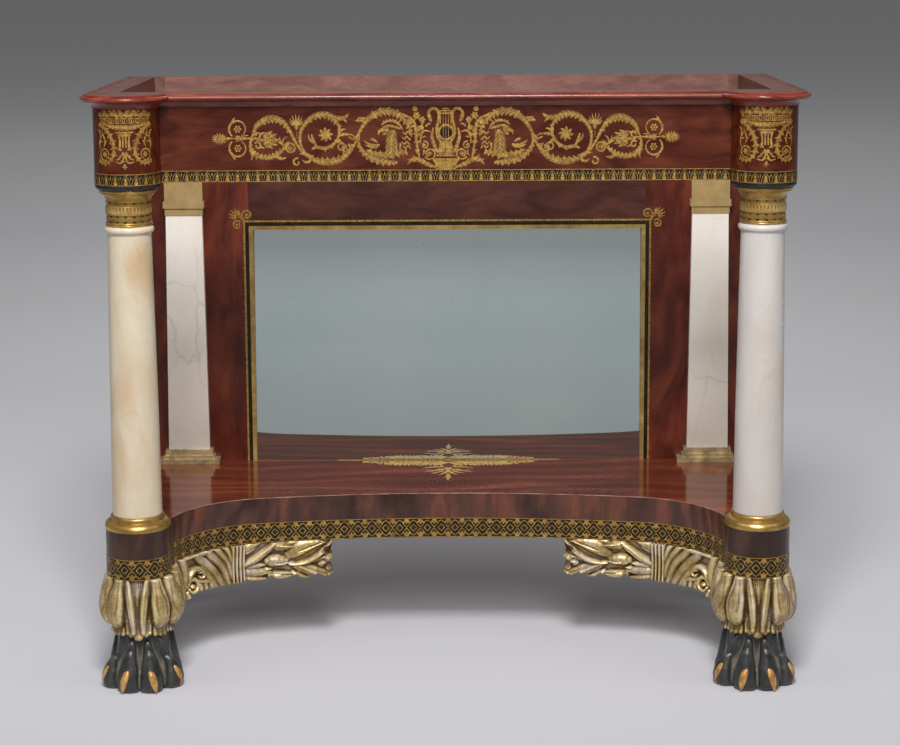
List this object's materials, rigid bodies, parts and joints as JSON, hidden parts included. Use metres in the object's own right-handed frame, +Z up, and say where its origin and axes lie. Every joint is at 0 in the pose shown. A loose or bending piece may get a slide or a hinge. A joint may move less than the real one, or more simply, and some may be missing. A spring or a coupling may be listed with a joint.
{
  "type": "pier table",
  "caption": "Pier table: stone columns and a mirrored back on a concave shelf, paw-footed front legs with carved brackets, and an open rim for a slab.",
  "frame": {"origin": "on the floor, under the middle of the object's box", "axes": "+Z up, +X along the front to the right as seen from the front, the front faces -Y"},
  "size_m": [1.08, 0.492, 0.908],
  "materials": {
    "mahogany": "french polished",
    "secondary_wood": "bare, aged",
    "alabaster": "polished",
    "white_marble": "polished",
    "gilt_metal": "matt gilding, dulled",
    "gilt_wood": "worn gold leaf on gesso",
    "ebonised_wood": "satin black",
    "mirror_glass": "silvered, slightly grey",
    "iron": "dark, unpainted"
  },
  "bodies": {
    "root": {"frieze_front_rail": "mahogany", "corner_block_left": "mahogany", "corner_block_right": "mahogany", "frieze_side_rail_left": "mahogany", "frieze_side_rail_right": "mahogany", "back_stile_left": "mahogany", "back_stile_right": "mahogany", "back_head_rail": "mahogany", "top_moulding_front": "mahogany", "top_moulding_corner_left": "mahogany", "top_moulding_corner_right": "mahogany", "top_moulding_side_left": "mahogany", "top_moulding_side_right": "mahogany", "shelf_board": "mahogany", "shelf_front_apron": "mahogany", "plinth_drum_left": "mahogany", "plinth_drum_right": "mahogany", "shelf_side_rail_left": "mahogany", "shelf_side_rail_right": "mahogany", "frieze_back_rail": "secondary_wood", "shelf_back_rail": "secondary_wood", "mirror_backboard": "secondary_wood", "mirror_wedges": "secondary_wood", "frieze_glue_blocks": "secondary_wood", "shelf_glue_blocks": "secondary_wood", "apron_dowels": "secondary_wood", "column_shaft_left": "alabaster", "column_shaft_right": "alabaster", "pilaster_shaft_left": "white_marble", "pilaster_shaft_right": "white_marble", "capital_left": "gilt_metal", "capital_right": "gilt_metal", "column_base_ring_left": "gilt_metal", "column_base_ring_right": "gilt_metal", "pilaster_capital_left": "gilt_metal", "pilaster_capital_right": "gilt_metal", "pilaster_base_left": "gilt_metal", "pilaster_base_right": "gilt_metal", "leaf_knee_left": "gilt_wood", "leaf_knee_right": "gilt_wood", "leg_bracket_left": "gilt_wood", "leg_bracket_right": "gilt_wood", "mirror_slip_left": "gilt_wood", "mirror_slip_right": "gilt_wood", "mirror_slip_top": "gilt_wood", "abacus_left": "ebonised_wood", "abacus_right": "ebonised_wood", "paw_left": "ebonised_wood", "paw_right": "ebonised_wood", "rear_foot_left": "ebonised_wood", "rear_foot_right": "ebonised_wood", "mirror_plate": "mirror_glass", "column_tie_rods": "iron", "tie_rod_nuts": "iron", "tie_rod_washers": "iron", "bracket_screws": "iron", "backboard_brads": "iron"}
  },
  "joints": []
}
